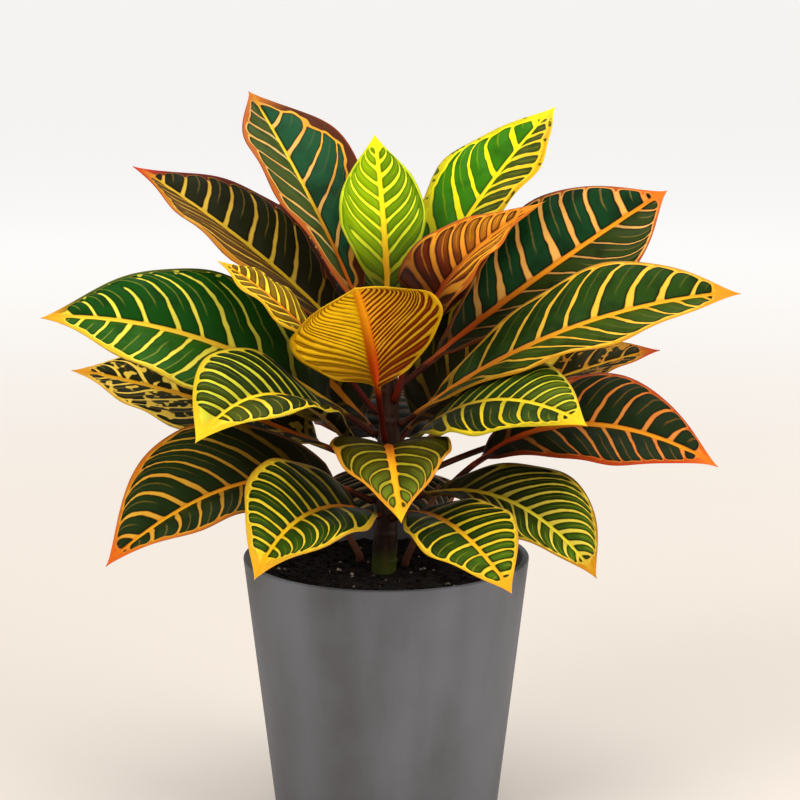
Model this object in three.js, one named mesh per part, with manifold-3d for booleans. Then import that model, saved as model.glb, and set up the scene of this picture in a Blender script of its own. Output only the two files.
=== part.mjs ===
// Potted croton: a tapered planter filled with soil, an upright stem and its broad leaves.
// Millimetres, +Z up. The origin is the centre of the pot's underside, and -Y is the front.
import * as THREE from 'three';
import Module from 'manifold-3d';
import { mergeVertices } from 'three/addons/utils/BufferGeometryUtils.js';

const wasm = await Module();
wasm.setup();

// Pot
const potHeight = 170;
const rimRadius = 94.5;
const footRadius = 74.7;
const wall = 4.5;
const floorThickness = 6;
const lipRound = 1.4;
const footRound = 2;
const potSides = 44;
const lipSlope = 0.4;

// Soil
const soilTop = 158;
const soilGap = 0.3;
const soilRings = 7;
const soilLump = 1.3;
const soilEdgeWidth = 12;
const holeGap = 0.3;
const holeSides = 24;

// Stems: how deep their ends stand in the soil, and how high over it they start to lean
const trunkDepth = 46;
const shootDepth = 30;
const leanStart = 4.5;

// Leaves: petioles
const petioleRadius = 2.1;
const petioleGap = 0.45;
const shootPetioleGap = 1.3;
const petioleRings = 3;

// Leaves: blades. Stations along a blade run from its base (0) to its tip (1).
const bladeThickness = 0.9;
const bladeRings = 11;
const bladeColumns = 4;
const lastStation = 0.975;
const flatStation = 0.1;
const openStation = 0.12;
const usualWidest = 0.55;
const baseFullness = 0.72;
const tipSharpening = 0.5;
const keelHeight = 3.4;
const edgeDroop = 12;
const usualWave = 1.8;
const edgeWaves = 3.4;
const leftWaveStart = 0.15;
const rightWaveStart = 0.6;

// Colours
const green = 0x2f5a22;
const darkGreen = 0x24401f;
const limeGreen = 0x6f9a22;
const oliveGreen = 0x5d6a1c;
const gold = 0xc09a22;
const redBrown = 0x6b3a1a;

const degrees = Math.PI / 180;

const smooth = (x) => {
  const c = Math.min(1, Math.max(0, x));
  return c * c * (3 - 2 * c);
};

const group = new THREE.Group();
group.name = 'potted_croton';

function add(name, geometry, colour, roughness, position = new THREE.Vector3()) {
  geometry.computeVertexNormals();
  const material = new THREE.MeshStandardMaterial({ color: colour, roughness, metalness: 0 });
  const mesh = new THREE.Mesh(geometry, material);
  mesh.name = name;
  mesh.position.copy(position);
  group.add(mesh);
}

// Closed skin over a list of rings with equal numbers of points, ended by two single points.
// From the point number turn on, its squares are split along their other diagonal, so that
// the two faces of a thin blade are split alike.
function loft(rings, startPoint, endPoint, turn = rings[0].length) {
  const n = rings[0].length;
  const positions = [];
  const index = [];
  for (const ring of rings) {
    for (const p of ring) positions.push(p.x, p.y, p.z);
  }
  positions.push(startPoint.x, startPoint.y, startPoint.z);
  positions.push(endPoint.x, endPoint.y, endPoint.z);
  const start = rings.length * n;
  for (let r = 0; r + 1 < rings.length; r += 1) {
    for (let k = 0; k < n; k += 1) {
      const a = r * n + k;
      const b = r * n + ((k + 1) % n);
      if (k < turn) index.push(a, b, b + n, a, b + n, a + n);
      else index.push(a, b, a + n, b, b + n, a + n);
    }
  }
  const last = (rings.length - 1) * n;
  for (let k = 0; k < n; k += 1) {
    const next = (k + 1) % n;
    index.push(start, next, k);
    index.push(start + 1, last + k, last + next);
  }
  const geometry = new THREE.BufferGeometry();
  geometry.setAttribute('position', new THREE.Float32BufferAttribute(positions, 3));
  geometry.setIndex(index);
  return geometry;
}

function toSolid(geometry) {
  const bare = new THREE.BufferGeometry();
  bare.setAttribute('position', geometry.getAttribute('position').clone());
  if (geometry.index) bare.setIndex(geometry.index.clone());
  const merged = mergeVertices(bare, 1e-3);
  const whole = [];
  const corners = merged.index.array;
  for (let i = 0; i < corners.length; i += 3) {
    const [a, b, c] = [corners[i], corners[i + 1], corners[i + 2]];
    if (a !== b && b !== c && c !== a) whole.push(a, b, c);
  }
  return new wasm.Manifold(new wasm.Mesh({
    numProp: 3,
    vertProperties: new Float32Array(merged.getAttribute('position').array),
    triVerts: new Uint32Array(whole),
  }));
}

function fromSolid(solid) {
  const mesh = solid.getMesh();
  const geometry = new THREE.BufferGeometry();
  geometry.setAttribute('position', new THREE.BufferAttribute(mesh.vertProperties, 3));
  geometry.setIndex(new THREE.BufferAttribute(mesh.triVerts, 1));
  return geometry;
}

// Pot: a flat closed foot, a straight tapered wall and a softly rounded lip
const outerRadius = (z) => footRadius + (rimRadius - footRadius) * (z / potHeight);
const innerRadius = (z) => outerRadius(z) - wall;
const lipStart = potHeight - lipRound;
const lipShoulder = potHeight - lipSlope * lipRound;
const potProfile = [
  [0, 0],
  [outerRadius(0) - footRound, 0],
  [outerRadius(footRound), footRound],
  [outerRadius(lipStart), lipStart],
  [outerRadius(potHeight) - lipSlope * lipRound, lipShoulder],
  [outerRadius(potHeight) - lipRound, potHeight],
  [innerRadius(potHeight) + lipRound, potHeight],
  [innerRadius(potHeight) + lipSlope * lipRound, lipShoulder],
  [innerRadius(lipStart), lipStart],
  [innerRadius(floorThickness), floorThickness],
  [0, floorThickness],
];
const potPoints = potProfile.map(([r, z]) => new THREE.Vector2(r, z));
const potGeometry = new THREE.LatheGeometry(potPoints, potSides);
potGeometry.rotateX(Math.PI / 2);
add('pot', potGeometry, 0x65686c, 0.72);

// Trunk and two side shoots, which rise out of the soil beside it. Each stands upright in the
// soil, then leans from its foot towards its head, where a bud closes it.
const trunk = {
  name: 'stem', colour: 0x5a3426, depth: trunkDepth, foot: [-1.5, 0], head: [0, -1], top: 332, bud: 12,
  sway: 2.5, footRadius: 8.2, waistRadius: 7.8, crownRadius: 4.6, rings: 13, sides: 12,
};
const shoots = [
  { name: 'shoot_left', colour: 0x8a5a4a, depth: shootDepth, foot: [-18, 26], head: [-43, 34], top: 206,
    bud: 6, sway: 0, footRadius: 2.6, waistRadius: 2.4, crownRadius: 2.2, rings: 5, sides: 8 },
  { name: 'shoot_right', colour: 0x8a5a4a, depth: shootDepth, foot: [13, 12], head: [33, 10], top: 210,
    bud: 6, sway: 0, footRadius: 2.6, waistRadius: 2.4, crownRadius: 2.2, rings: 5, sides: 8 },
];
const uprights = [trunk, ...shoots];

function centreOf(upright, z) {
  const h = Math.max(0, (z - soilTop - leanStart) / (upright.top - soilTop - leanStart));
  return new THREE.Vector3(
    upright.foot[0] + (upright.head[0] - upright.foot[0]) * h + upright.sway * Math.sin(2.6 * h),
    upright.foot[1] + (upright.head[1] - upright.foot[1]) * h - upright.sway * Math.sin(3 * h),
    z,
  );
}

function radiusOf(upright, z) {
  const h = Math.max(0, (z - soilTop) / (upright.top - soilTop));
  const body = upright.footRadius + (upright.waistRadius - upright.footRadius) * smooth(h / 0.4);
  return body + (upright.crownRadius - body) * smooth((h - 0.35) / 0.6);
}

function stemGeometry(upright) {
  const free = soilTop + leanStart;
  const end = soilTop - upright.depth;
  const heights = [end];
  for (let i = 0; i <= upright.rings; i += 1) {
    heights.push(free + (upright.top - free) * (i / upright.rings));
  }
  const rings = heights.map((z) => {
    const centre = centreOf(upright, z);
    const radius = radiusOf(upright, z);
    const ring = [];
    for (let k = 0; k < upright.sides; k += 1) {
      const a = (2 * Math.PI * k) / upright.sides;
      ring.push(new THREE.Vector3(centre.x + radius * Math.cos(a), centre.y + radius * Math.sin(a), z));
    }
    return ring;
  });
  return loft(
    rings,
    centreOf(upright, end),
    centreOf(upright, upright.top).setZ(upright.top + upright.bud),
  );
}

for (const upright of uprights) add(upright.name, stemGeometry(upright), upright.colour, 0.7);

// Soil: fills the pot to just under its rim, lumpy on top, with a plain hole for each stem
function soilHeight(r, a) {
  const fade = smooth((innerRadius(soilTop) - r) / soilEdgeWidth);
  const lumps = Math.sin(0.19 * r + 3 * a) * Math.cos(5 * a + 0.08 * r) + 0.6 * Math.sin(7 * a - 0.3 * r);
  return soilTop + soilLump * fade * lumps;
}

function soilRing(r, heightAt) {
  const ring = [];
  for (let k = 0; k < potSides; k += 1) {
    const a = (2 * Math.PI * k) / potSides;
    ring.push(new THREE.Vector3(r * Math.sin(a), -r * Math.cos(a), heightAt(a)));
  }
  return ring;
}

const soilBottom = floorThickness + soilGap;
const soilRadius = (z) => innerRadius(z) - soilGap / Math.cos(Math.PI / potSides);
const soilLayers = [
  soilRing(soilRadius(soilBottom), () => soilBottom),
  soilRing(soilRadius(soilTop), () => soilTop),
];
for (let i = 1; i < soilRings; i += 1) {
  const r = soilRadius(soilTop) * (1 - i / soilRings);
  soilLayers.push(soilRing(r, (a) => soilHeight(r, a)));
}
let soil = toSolid(loft(soilLayers, new THREE.Vector3(0, 0, soilBottom), new THREE.Vector3(0, 0, soilTop)));
for (const upright of uprights) {
  const radius = (upright.footRadius + holeGap) / Math.cos(Math.PI / holeSides);
  const length = upright.depth + holeGap + 2 * soilEdgeWidth;
  const hole = new THREE.CylinderGeometry(radius, radius, length, holeSides);
  hole.rotateX(Math.PI / 2);
  hole.translate(upright.foot[0], upright.foot[1], soilTop - upright.depth - holeGap + length / 2);
  soil = soil.subtract(toSolid(hole));
}
add('soil', fromSolid(soil), 0x2a1d14, 0.95);

// Leaves. Each is set by where it leaves the stem (foot, a height), the point half way along
// its midrib and its tip. left and right are the lifts of its two halves in degrees, seen
// from the stem, over the level line across it. blade is where along it the blade begins,
// widest the blade's widest station, wave the height of its edge's waves, and on the shoot
// that carries it, where that is not the trunk.
const leaves = [
  { name: 'leaf_top_left', foot: 296, middle: [-43, 45, 386], tip: [-94, 100, 469],
    blade: 0.14, width: 94, left: 32, right: 32, widest: 0.64, colour: darkGreen },
  { name: 'leaf_top_middle', foot: 312, middle: [-1, 28, 375], tip: [-8, 60, 443],
    blade: 0.2, width: 58, left: 12, right: 12, colour: limeGreen },
  { name: 'leaf_top_right', foot: 304, middle: [54, 55, 387], tip: [116, 110, 458],
    blade: 0.14, width: 94, left: 24, right: 28, widest: 0.58, colour: limeGreen },
  { name: 'leaf_right_upper', foot: 282, middle: [88, 30, 342], tip: [188, 60, 405],
    blade: 0.12, width: 96, left: 62, right: -16, widest: 0.64, colour: darkGreen },
  { name: 'leaf_right_long', foot: 258, middle: [111, -25, 322], tip: [223, -45, 350],
    blade: 0.05, width: 84, left: 60, right: -4, widest: 0.59, colour: green },
  { name: 'leaf_right_behind', foot: 236, middle: [98, 63, 269], tip: [188, 84, 293],
    blade: 0.06, width: 64, left: 40, right: 16, widest: 0.63, colour: darkGreen },
  { name: 'leaf_right_dark', on: 'shoot_right', foot: 209, middle: [118, 10, 254], tip: [218, 0, 229],
    blade: 0.13, width: 90, left: 54, right: -9, widest: 0.58, wave: 0.8, colour: darkGreen },
  { name: 'leaf_left_upper', foot: 288, middle: [-77, 40, 358], tip: [-171, 75, 420],
    blade: 0.14, width: 84, left: 17, right: 48, colour: darkGreen },
  { name: 'leaf_left_gold', foot: 265, middle: [-57, -20, 337], tip: [-110, -18, 371],
    blade: 0.2, width: 62, left: 2, right: 30, colour: gold },
  { name: 'leaf_left_long', foot: 250, middle: [-111, -2, 311], tip: [-223, -8, 329],
    blade: 0.1, width: 104, left: -14, right: 64, widest: 0.48, colour: green },
  { name: 'leaf_left_behind', foot: 228, middle: [-116, 43, 262], tip: [-213, 54, 284],
    blade: 0.14, width: 82, left: -2, right: 50, widest: 0.47, colour: darkGreen },
  { name: 'leaf_front_left', foot: 222, middle: [-60, -61, 287], tip: [-114, -122, 270],
    blade: 0.06, width: 86, left: 8, right: 50, widest: 0.6, colour: green },
  { name: 'leaf_left_low', foot: 206, middle: [-88, -20, 222], tip: [-177, -66, 179],
    blade: 0.1, width: 103, left: 8, right: 64, widest: 0.57, colour: darkGreen },
  { name: 'leaf_front_left_low', foot: 198, middle: [-47, -72, 214], tip: [-78, -144, 191],
    blade: 0.05, width: 86, left: 8, right: 62, widest: 0.5, colour: green },
  { name: 'leaf_centre_gold', foot: 247, middle: [-9, -53, 319], tip: [-18, -115, 363],
    blade: 0.25, width: 98, left: 35, right: -5, widest: 0.46, wave: 1, colour: gold },
  { name: 'leaf_centre_red', foot: 272, middle: [35, -15, 348], tip: [101, 0, 403],
    blade: 0.37, width: 66, left: 80, right: 5, widest: 0.26, colour: redBrown },
  { name: 'leaf_front_right', foot: 240, middle: [60, -50, 282], tip: [123, -105, 277],
    blade: 0.06, width: 84, left: 38, right: -10, widest: 0.55, colour: green },
  { name: 'leaf_front_right_low', foot: 196, middle: [37, -72, 209], tip: [77, -128, 178],
    blade: 0.18, width: 68, left: 34, right: 10, colour: green },
  { name: 'leaf_right_low', foot: 206, middle: [75, -16, 210], tip: [134, -62, 170],
    blade: 0.12, width: 75, left: 54, right: 4, widest: 0.6, colour: green },
  { name: 'leaf_front_middle', foot: 240, middle: [3, -65, 251], tip: [10, -120, 220],
    blade: 0.2, width: 78, left: 25, right: 25, widest: 0.4, colour: oliveGreen },
  { name: 'leaf_back_middle', foot: 262, middle: [4, 62, 345], tip: [8, 140, 392],
    blade: 0.25, width: 70, left: 14, right: 14, colour: green },
  { name: 'leaf_back_low', foot: 216, middle: [0, 60, 208], tip: [-4, 126, 140],
    blade: 0.08, width: 96, left: 8, right: 8, widest: 0.6, colour: darkGreen },
  { name: 'leaf_back_centre', foot: 232, middle: [-4, 74, 262], tip: [-10, 150, 258],
    blade: 0.1, width: 100, left: -10, right: -10, widest: 0.5, colour: darkGreen },
  { name: 'leaf_back_left_high', foot: 280, middle: [-48, 78, 352], tip: [-70, 165, 388],
    blade: 0.25, width: 72, left: 16, right: 16, colour: green },
  { name: 'leaf_back_right_high', foot: 274, middle: [44, 74, 345], tip: [90, 160, 376],
    blade: 0.25, width: 72, left: 16, right: 16, colour: darkGreen },
  { name: 'leaf_back_left', foot: 248, middle: [-80, 72, 312], tip: [-142, 128, 326],
    blade: 0.04, width: 80, left: -34, right: 50, widest: 0.38, colour: green },
  { name: 'leaf_back_right', foot: 246, middle: [86, 68, 314], tip: [160, 128, 342],
    blade: 0.04, width: 80, left: 50, right: -40, widest: 0.38, colour: green },
  { name: 'leaf_back_left_low', foot: 203, middle: [-88, 60, 236], tip: [-148, 100, 216],
    blade: 0.2, width: 72, left: 4, right: 12, on: 'shoot_left', colour: darkGreen },
  { name: 'leaf_back_right_low', foot: 216, middle: [100, 62, 238], tip: [172, 108, 226],
    blade: 0.42, width: 72, left: 8, right: 4, colour: darkGreen },
];

// Half width of a blade over its greatest
function outline(s, widest = usualWidest) {
  const bulge = Math.sin(Math.PI * s ** (Math.log(0.5) / Math.log(widest)));
  return bulge ** (baseFullness + tipSharpening * s);
}

// Curve from the side of the stem, where the petiole starts, to the blade's tip
function midrib(leaf) {
  const carrier = uprights.find((upright) => upright.name === (leaf.on ?? trunk.name));
  const gap = leaf.on ? shootPetioleGap : petioleGap;
  const foot = centreOf(carrier, leaf.foot);
  const middle = new THREE.Vector3(...leaf.middle);
  const tip = new THREE.Vector3(...leaf.tip);
  const bend = middle.multiplyScalar(2).addScaledVector(foot, -0.5).addScaledVector(tip, -0.5);
  const out = bend.clone().sub(foot);
  const level = out.clone().setZ(0).normalize();
  const rise = Math.abs(Math.atan2(out.z, Math.hypot(out.x, out.y)));
  const clear = radiusOf(carrier, leaf.foot) + gap + petioleRadius * Math.sin(rise);
  return new THREE.QuadraticBezierCurve3(foot.addScaledVector(level, clear), bend, tip);
}

// Directions at a place on the midrib: across it to the right, level, and up from it
function frameAt(curve, t) {
  const along = curve.getTangent(t);
  const flat = curve.v2.clone().sub(curve.v0).setZ(0).normalize();
  const across = new THREE.Vector3(flat.y, -flat.x, 0);
  across.addScaledVector(along, -across.dot(along)).normalize();
  return { centre: curve.getPoint(t), across, up: new THREE.Vector3().crossVectors(across, along) };
}

function offset(frame, across, up) {
  return frame.centre.clone().addScaledVector(frame.across, across).addScaledVector(frame.up, up);
}

function petioleRing(frame, count) {
  const ring = [];
  for (let k = 0; k < count; k += 1) {
    const a = Math.PI - ((k + 0.5) * 2 * Math.PI) / count;
    ring.push(offset(frame, petioleRadius * Math.cos(a), petioleRadius * Math.sin(a)));
  }
  return ring;
}

// Point of a blade's skin at station s and at u across it, from -1 (left edge) to 1 (right
// edge), at a depth over or under its middle layer. Each half lifts from the midrib by its
// own angle, its edge droops a little and is waved, and the depth is measured square to it.
function bladePoint(leaf, frame, s, u, depth) {
  const open = smooth(s / openStation) * degrees;
  const lift = open * ((u < 0 ? leaf.left : leaf.right) - edgeDroop * Math.abs(u));
  const tilt = u === 0 ? (open * (leaf.left - leaf.right)) / 2 : -Math.sign(u) * lift;
  const half = Math.max(petioleRadius * (1 - s), (leaf.width / 2) * outline(s, leaf.widest));
  const waveStart = u < 0 ? leftWaveStart : rightWaveStart;
  const height = (leaf.wave ?? usualWave) * u * u * outline(s);
  const wave = height * Math.sin(2 * Math.PI * (edgeWaves * s + waveStart));
  return offset(
    frame,
    half * u * Math.cos(lift) + (wave + depth) * Math.sin(tilt),
    half * Math.abs(u) * Math.sin(lift) + (wave + depth) * Math.cos(tilt),
  );
}

function bladeRing(leaf, curve, s) {
  const frame = frameAt(curve, leaf.blade + (1 - leaf.blade) * s);
  const keel = keelHeight * (1 - s) * (1 - s / 2);
  const top = [];
  const bottom = [];
  for (let k = 0; k <= bladeColumns; k += 1) {
    const u = -1 + (2 * k) / bladeColumns;
    top.push(bladePoint(leaf, frame, s, u, bladeThickness / 2));
    bottom.unshift(bladePoint(leaf, frame, s, u, -bladeThickness / 2 - (u === 0 ? keel : 0)));
  }
  const flat = [...top, ...bottom];
  const round = petioleRing(frame, flat.length);
  return flat.map((p, k) => round[k].lerp(p, smooth(s / flatStation)));
}

function leafGeometry(leaf, curve) {
  const count = 2 * (bladeColumns + 1);
  const rings = [];
  for (let i = 0; i < petioleRings; i += 1) {
    rings.push(petioleRing(frameAt(curve, (leaf.blade * i) / petioleRings), count));
  }
  for (let i = 0; i <= bladeRings; i += 1) {
    rings.push(bladeRing(leaf, curve, lastStation * (i / bladeRings)));
  }
  return loft(rings, curve.getPoint(0), curve.getPoint(1), count / 2);
}

for (const leaf of leaves) {
  const curve = midrib(leaf);
  const geometry = leafGeometry(leaf, curve);
  geometry.translate(-curve.v0.x, -curve.v0.y, -curve.v0.z);
  add(leaf.name, geometry, leaf.colour, 0.4, curve.v0);
}

export default group;
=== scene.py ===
# Potted croton: a house plant with broad veined leaves on an upright stem, growing in potting
# soil in a plain tapered planter. Metres, +Z up, and -Y towards the viewer.
import math
import random
from functools import partial

import bpy
import numpy as np
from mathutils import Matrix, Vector, noise


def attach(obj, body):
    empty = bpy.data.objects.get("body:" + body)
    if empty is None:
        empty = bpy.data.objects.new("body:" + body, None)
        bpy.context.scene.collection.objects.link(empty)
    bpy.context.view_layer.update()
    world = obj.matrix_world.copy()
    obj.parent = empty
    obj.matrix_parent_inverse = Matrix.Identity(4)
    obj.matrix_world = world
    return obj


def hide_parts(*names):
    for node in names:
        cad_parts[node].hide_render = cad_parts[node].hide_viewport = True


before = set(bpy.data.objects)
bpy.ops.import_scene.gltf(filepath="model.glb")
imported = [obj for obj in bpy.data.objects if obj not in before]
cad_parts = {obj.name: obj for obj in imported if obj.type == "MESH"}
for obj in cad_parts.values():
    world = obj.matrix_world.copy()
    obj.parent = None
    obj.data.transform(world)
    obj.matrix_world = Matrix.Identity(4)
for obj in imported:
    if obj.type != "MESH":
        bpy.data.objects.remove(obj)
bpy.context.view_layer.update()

# Camera, floor, wall and lights. The camera stands 1.5 m in front of the plant and looks down on
# it a little. The floor and the wall far behind it are plain and pale and glow a little, and
# large soft lights stand in for a bright room.
CAMERA_PLACE = (0.0091, -1.4563, 0.5436)
CAMERA_PITCH = 10.5
CAMERA_LENS = 101.97
SENSOR_WIDTH = 36
FLOOR_SIZE = 320
FLOOR_DROP = 0.0003
FLOOR_FADE = (0.4, 3.4)
FLOOR_GLOW = 0.32
WALL_RADIUS = 150
WALL_HEIGHT = 90
WALL_SIDES = 96
ROOM_LIGHT = 0.75
PLANT_MIDDLE = (0, 0, 0.28)

camera = bpy.data.objects.new("camera", bpy.data.cameras.new("camera"))
camera.location = CAMERA_PLACE
camera.rotation_euler = (math.radians(90 - CAMERA_PITCH), 0, 0)
camera.data.lens = CAMERA_LENS
camera.data.sensor_width = SENSOR_WIDTH
bpy.context.scene.collection.objects.link(camera)
bpy.context.scene.camera = camera

scene = bpy.context.scene
scene.view_settings.view_transform = "Standard"
scene.view_settings.look = "None"


def node(tree, kind, inputs=None, **settings):
    """Adds a shader node. A value in inputs is a number, a colour or another node's socket."""
    made = tree.nodes.new("ShaderNode" + kind)
    for name, value in settings.items():
        setattr(made, name, value)
    for key, value in (inputs or {}).items():
        if isinstance(value, bpy.types.NodeSocket):
            tree.links.new(value, made.inputs[key])
        else:
            made.inputs[key].default_value = value
    return made


def colour(web):
    """Linear colour of a web colour such as "6b8e23"."""
    parts = [int(web[i:i + 2], 16) / 255 for i in (0, 2, 4)]
    return tuple(c / 12.92 if c < 0.04045 else ((c + 0.055) / 1.055) ** 2.4 for c in parts) + (1,)


def finish_of(name, roughness, specular):
    """A new material, with its tree and its shader. Numbers that are even all over are set here."""
    material = bpy.data.materials.new(name)
    material.use_nodes = True
    tree = material.node_tree
    shader = tree.nodes["Principled BSDF"]
    shader.inputs["Roughness"].default_value = roughness
    shader.inputs["Specular IOR Level"].default_value = specular
    return material, tree, shader


def maths(tree, operation, *values):
    """Result of a sum on numbers and sockets."""
    return node(tree, "Math", dict(enumerate(values)), operation=operation).outputs[0]


def ramp(tree, value, start, end, low=0.0, high=1.0):
    """Soft step from low at start to high at end."""
    inputs = {"Value": value, "From Min": start, "From Max": end, "To Min": low, "To Max": high}
    made = node(tree, "MapRange", inputs, interpolation_type="SMOOTHSTEP")
    return made.outputs["Result"]


def mix(tree, amount, below, above):
    """Colour below, covered by colour above as far as amount says."""
    made = node(tree, "Mix", {0: amount, 6: below, 7: above}, data_type="RGBA")
    return made.outputs[2]


def grain(tree, scale, detail=3.0, stretch=(1, 1, 1), roughness=0.5):
    """Cloudy noise from 0 to 1, fixed to the piece. Scale is in patches a metre."""
    place = node(tree, "TexCoord").outputs["Object"]
    place = node(tree, "Mapping", {"Vector": place, "Scale": stretch}).outputs[0]
    inputs = {"Vector": place, "Scale": scale, "Detail": detail, "Roughness": roughness}
    return node(tree, "TexNoise", inputs).outputs["Fac"]


def roughen(tree, shader, height, strength, distance):
    """Roughens a finish by a height, as far as distance says, in metres."""
    inputs = {"Height": height, "Strength": strength, "Distance": distance}
    tree.links.new(node(tree, "Bump", inputs).outputs["Normal"], shader.inputs["Normal"])


def deselect_all():
    """An operator acts on all that is selected, so this comes before each new piece."""
    bpy.ops.object.select_all(action="DESELECT")


deselect_all()
bpy.ops.mesh.primitive_plane_add(size=FLOOR_SIZE, location=(0, 0, -FLOOR_DROP))
floor = bpy.context.object
floor.name = "floor"
material, tree, shader = finish_of("floor", roughness=0.7, specular=0.2)
place = node(tree, "TexCoord").outputs["Object"]
distance = node(tree, "VectorMath", {0: place}, operation="LENGTH").outputs["Value"]
shade = mix(tree, ramp(tree, distance, *FLOOR_FADE), colour("c2b9b0"), colour("ebebeb"))
tree.links.new(shade, shader.inputs["Base Color"])
tree.links.new(shade, shader.inputs["Emission Color"])
shader.inputs["Emission Strength"].default_value = FLOOR_GLOW
floor.data.materials.append(material)

bpy.ops.mesh.primitive_cylinder_add(
    vertices=WALL_SIDES, radius=WALL_RADIUS, depth=WALL_HEIGHT, end_fill_type="NOTHING",
    location=(0, 0, WALL_HEIGHT / 2),
)
wall = bpy.context.object
wall.name = "far_wall"
material, tree, shader = finish_of("wall", roughness=1, specular=0)
shader.inputs["Base Color"].default_value = (0, 0, 0, 1)
shader.inputs["Emission Color"].default_value = colour("efeeeb")
shader.inputs["Emission Strength"].default_value = 1
wall.data.materials.append(material)

world = bpy.data.worlds.new("room")
world.use_nodes = True
world.node_tree.nodes["Background"].inputs["Color"].default_value = colour("f8f6f3")
world.node_tree.nodes["Background"].inputs["Strength"].default_value = ROOM_LIGHT
scene.world = world


def soft_light(name, place, size, power):
    """Square area light of that size, turned towards the plant's middle."""
    light = bpy.data.objects.new(name, bpy.data.lights.new(name, "AREA"))
    light.data.size = size
    light.data.energy = power
    light.location = place
    towards = Vector(PLANT_MIDDLE) - Vector(place)
    light.rotation_euler = towards.to_track_quat("-Z", "Y").to_euler()
    light.visible_camera = False
    scene.collection.objects.link(light)


soft_light("light_front_left", (-1.7, -1.5, 2.0), size=1.3, power=41)
soft_light("light_front_right", (1.9, -1.1, 1.1), size=1.1, power=31)
soft_light("light_above", (0.2, 0.4, 2.3), size=1.3, power=19)

# Pot: a round tapered planter with a thin straight wall, a flat foot and a softly rounded lip,
# cast in one piece with a matte grey finish. Its wall is drawn up from the foot, and the
# inside is inset from the rim and pushed down to the floor.
POT_HEIGHT = 0.170
RIM_RADIUS = 0.0945
FOOT_RADIUS = 0.0747
POT_WALL = 0.0045
POT_FLOOR = 0.006
LIP_ROUND = 0.0013
LIP_STEPS = 4
POT_SIDES = 144
ROUNDED_FROM_DEGREES = 40
SMOOTH_TO_DEGREES = 35


def inner_radius(z):
    """Radius of the pot's inside at a height, in metres."""
    return FOOT_RADIUS + (RIM_RADIUS - FOOT_RADIUS) * z / POT_HEIGHT - POT_WALL


def pick(piece):
    """Selects a piece alone and makes it the active one."""
    deselect_all()
    piece.select_set(True)
    bpy.context.view_layer.objects.active = piece


def edit(piece, kind="FACE"):
    """Opens a piece in edit mode with nothing selected."""
    pick(piece)
    bpy.ops.object.mode_set(mode="EDIT")
    bpy.ops.mesh.select_mode(type=kind)
    bpy.ops.mesh.select_all(action="DESELECT")


def hand_over(piece, cad_node):
    """The piece stands for that node of the frame."""
    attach(piece, "root")
    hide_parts(cad_node)


deselect_all()
bpy.ops.mesh.primitive_cylinder_add(
    vertices=POT_SIDES, radius=FOOT_RADIUS, depth=POT_HEIGHT, location=(0, 0, POT_HEIGHT / 2)
)
pot = bpy.context.object
pot.name = "planter"
pick(pot)
bpy.ops.object.transform_apply(location=True, rotation=True, scale=True)
edit(pot)
bpy.ops.object.mode_set(mode="OBJECT")
for face in pot.data.polygons:
    face.select = face.normal.z > 0.9
bpy.ops.object.mode_set(mode="EDIT")
flare = RIM_RADIUS / FOOT_RADIUS
bpy.ops.transform.resize(value=(flare, flare, 1), center_override=(0, 0, POT_HEIGHT))
bpy.ops.mesh.inset(thickness=POT_WALL)
bpy.ops.mesh.extrude_region_move(TRANSFORM_OT_translate={"value": (0, 0, POT_FLOOR - POT_HEIGHT)})
narrow = inner_radius(POT_FLOOR) / inner_radius(POT_HEIGHT)
bpy.ops.transform.resize(value=(narrow, narrow, 1), center_override=(0, 0, POT_FLOOR))
bpy.ops.object.mode_set(mode="OBJECT")
lip = pot.modifiers.new("lip", "BEVEL")
lip.width = LIP_ROUND
lip.segments = LIP_STEPS
lip.limit_method = "ANGLE"
lip.angle_limit = math.radians(ROUNDED_FROM_DEGREES)
pick(pot)
bpy.ops.object.modifier_apply(modifier=lip.name)
bpy.ops.object.shade_smooth_by_angle(angle=math.radians(SMOOTH_TO_DEGREES))

material, tree, shader = finish_of("pot_grey", roughness=0.62, specular=0.35)
streaks = ramp(tree, grain(tree, 9, detail=4, stretch=(2.6, 2.6, 0.5)), 0.3, 0.72)
clouds = ramp(tree, grain(tree, 26, detail=5, roughness=0.6), 0.3, 0.75)
specks = ramp(tree, grain(tree, 900, detail=2), 0.62, 0.75)
grey = mix(tree, streaks, colour("4a494b"), colour("5c5c60"))
grey = mix(tree, maths(tree, "MULTIPLY", clouds, 0.35), grey, colour("66666b"))
grey = mix(tree, maths(tree, "MULTIPLY", specks, 0.25), grey, colour("444448"))
tree.links.new(grey, shader.inputs["Base Color"])
tree.links.new(ramp(tree, clouds, 0, 1, 0.56, 0.7), shader.inputs["Roughness"])
surface = maths(tree, "ADD", maths(tree, "MULTIPLY", clouds, 0.6), grain(tree, 700, detail=3))
roughen(tree, shader, surface, 0.12, 0.0005)
pot.data.materials.append(material)
hand_over(pot, "pot")

# Soil: dark moist potting mix that fills the pot to 12 mm under its rim. Its top is a sheet
# drawn out to a disc and roughened, with skirt and underside drawn down, and loose crumbs and
# grains of white perlite lie on it.
SOIL_TOP = 0.158
SOIL_GAP = 0.0003
SOIL_GRID = 150
SOIL_SKIRT = 0.03
EVEN_EDGE = 0.012
# Broad lumps, lumps, crumbs and grit: patches a metre and height of each.
SOIL_RELIEF = ((45, 0.0016), (130, 0.0014), (420, 0.0011), (900, 0.0004))
GRAIN_SPREAD = 0.97
GRAIN_DENTS = 0.3
GRAIN_LIFT = 0.25
ROOM_FOR_TRUNK = 0.012


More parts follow.
